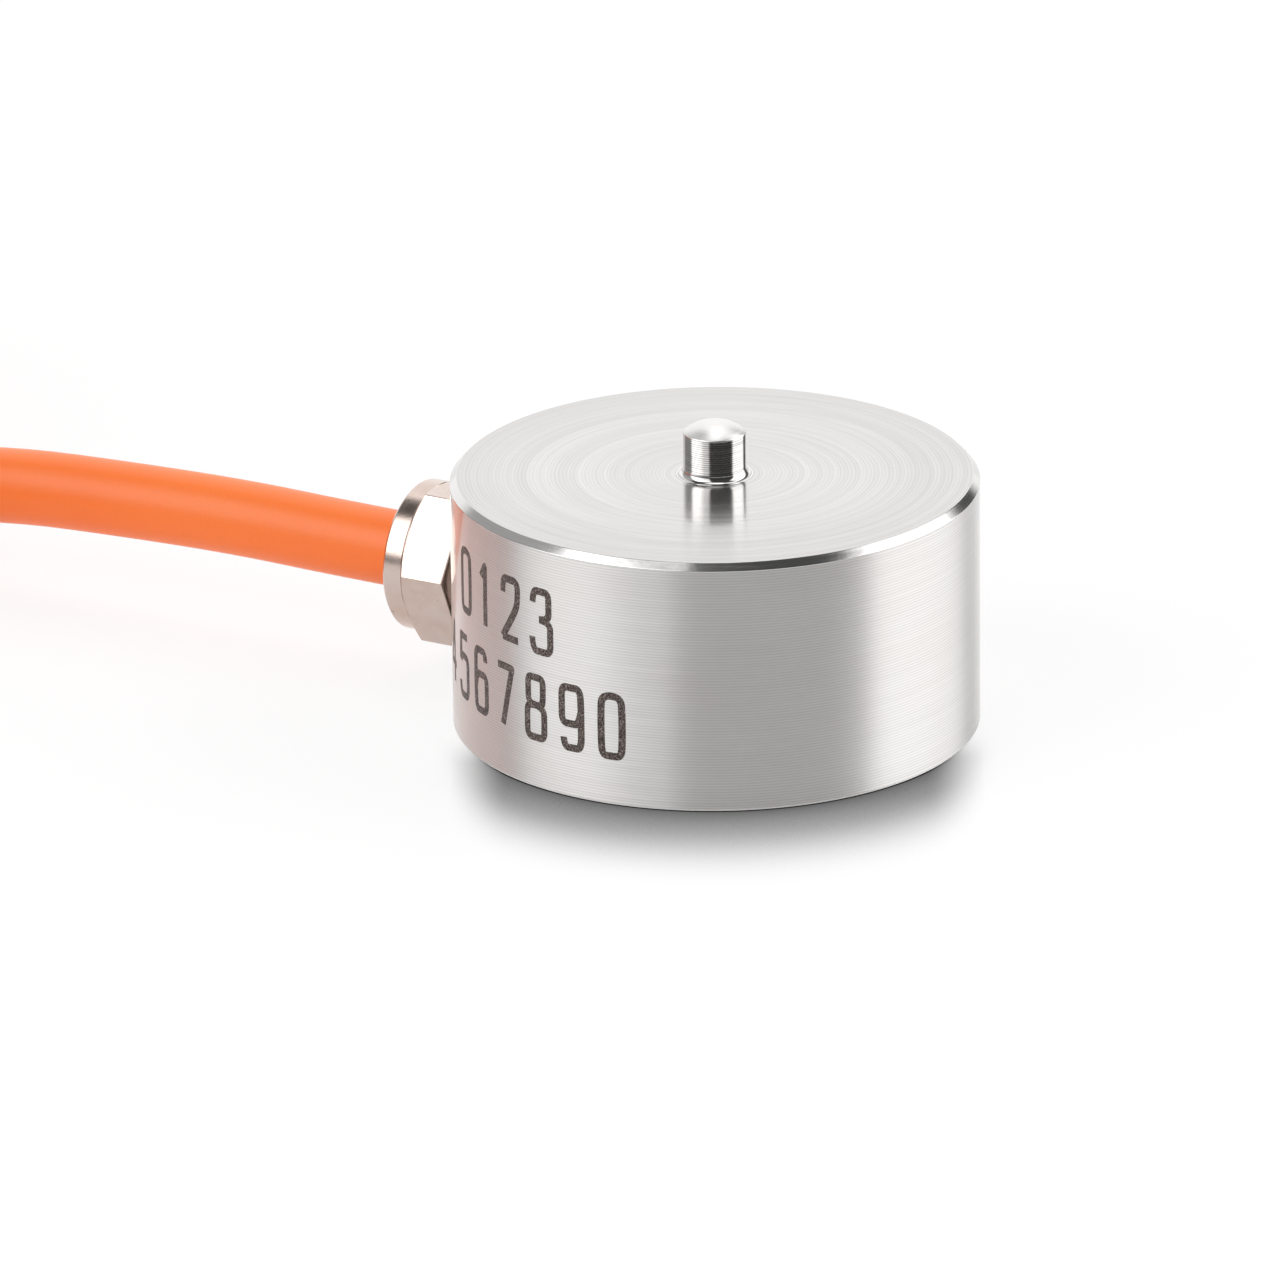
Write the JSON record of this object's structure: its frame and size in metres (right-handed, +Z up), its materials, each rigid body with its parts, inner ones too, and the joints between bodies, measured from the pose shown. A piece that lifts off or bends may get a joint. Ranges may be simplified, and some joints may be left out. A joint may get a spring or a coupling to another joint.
{
  "type": "strain gauge load cell",
  "caption": "Miniature button compression load cell: low round steel body with a domed load button, side cable fitting and a coiled shielded cable with stripped ends.",
  "frame": {"origin": "centre of the ring face that the body stands on", "axes": "+Z up along the load axis, towards the load button; the cable leaves the body's side along -X"},
  "size_m": [0.0993, 0.047, 0.016],
  "materials": {
    "body_steel": "fine turned stainless steel",
    "cover_steel": "turned stainless steel",
    "nickel_plate": "satin nickel plating",
    "cable_jacket": "smooth satin jacket",
    "tinned_braid": "tinned copper strands",
    "ferrule_brass": "plain brass",
    "board_green": "glass-epoxy board with solder mask",
    "solder": "bright solder",
    "resistor_ceramic": "coated chip",
    "gauge_film": "amber carrier film",
    "gauge_foil": "etched foil",
    "lead_copper": "enamelled copper",
    "core_red": "core insulation",
    "core_black": "core insulation",
    "core_green": "core insulation",
    "core_white": "core insulation",
    "tinned_copper": "tinned ends",
    "shrink_black": "heat-shrunk sleeve",
    "strap_black": "woven strap"
  },
  "bodies": {
    "root": {"base_cover": "cover_steel", "board_solder_joints": "solder", "cable": "cable_jacket", "cable_coil": "cable_jacket", "cable_fitting": "nickel_plate", "cable_inner_end": "cable_jacket", "cable_tail": "cable_jacket", "clamp_ferrule": "ferrule_brass", "coil_tie": "strap_black", "core_solder_joints": "solder", "end_core_black": "core_black", "end_core_green": "core_green", "end_core_red": "core_red", "end_core_white": "core_white", "end_drain": "tinned_braid", "end_sleeve": "shrink_black", "gauge_film_1": "gauge_film", "gauge_film_2": "gauge_film", "gauge_film_3": "gauge_film", "gauge_film_4": "gauge_film", "gauge_foil_1": "gauge_foil", "gauge_foil_2": "gauge_foil", "gauge_foil_3": "gauge_foil", "gauge_foil_4": "gauge_foil", "gauge_lead_1_left": "lead_copper", "gauge_lead_1_right": "lead_copper", "gauge_lead_2_left": "lead_copper", "gauge_lead_2_right": "lead_copper", "gauge_lead_3_left": "lead_copper", "gauge_lead_3_right": "lead_copper", "gauge_lead_4_left": "lead_copper", "gauge_lead_4_right": "lead_copper", "inner_core_black": "core_black", "inner_core_green": "core_green", "inner_core_red": "core_red", "inner_core_white": "core_white", "load_body": "body_steel", "modulus_resistor": "resistor_ceramic", "resistor_solder_joints": "solder", "shield_braid": "tinned_braid", "span_resistor": "resistor_ceramic", "tab_solder_joints": "solder", "terminal_board": "board_green", "tinned_tip_black": "tinned_copper", "tinned_tip_green": "tinned_copper", "tinned_tip_red": "tinned_copper", "tinned_tip_white": "tinned_copper", "zero_resistor": "resistor_ceramic"}
  },
  "joints": []
}
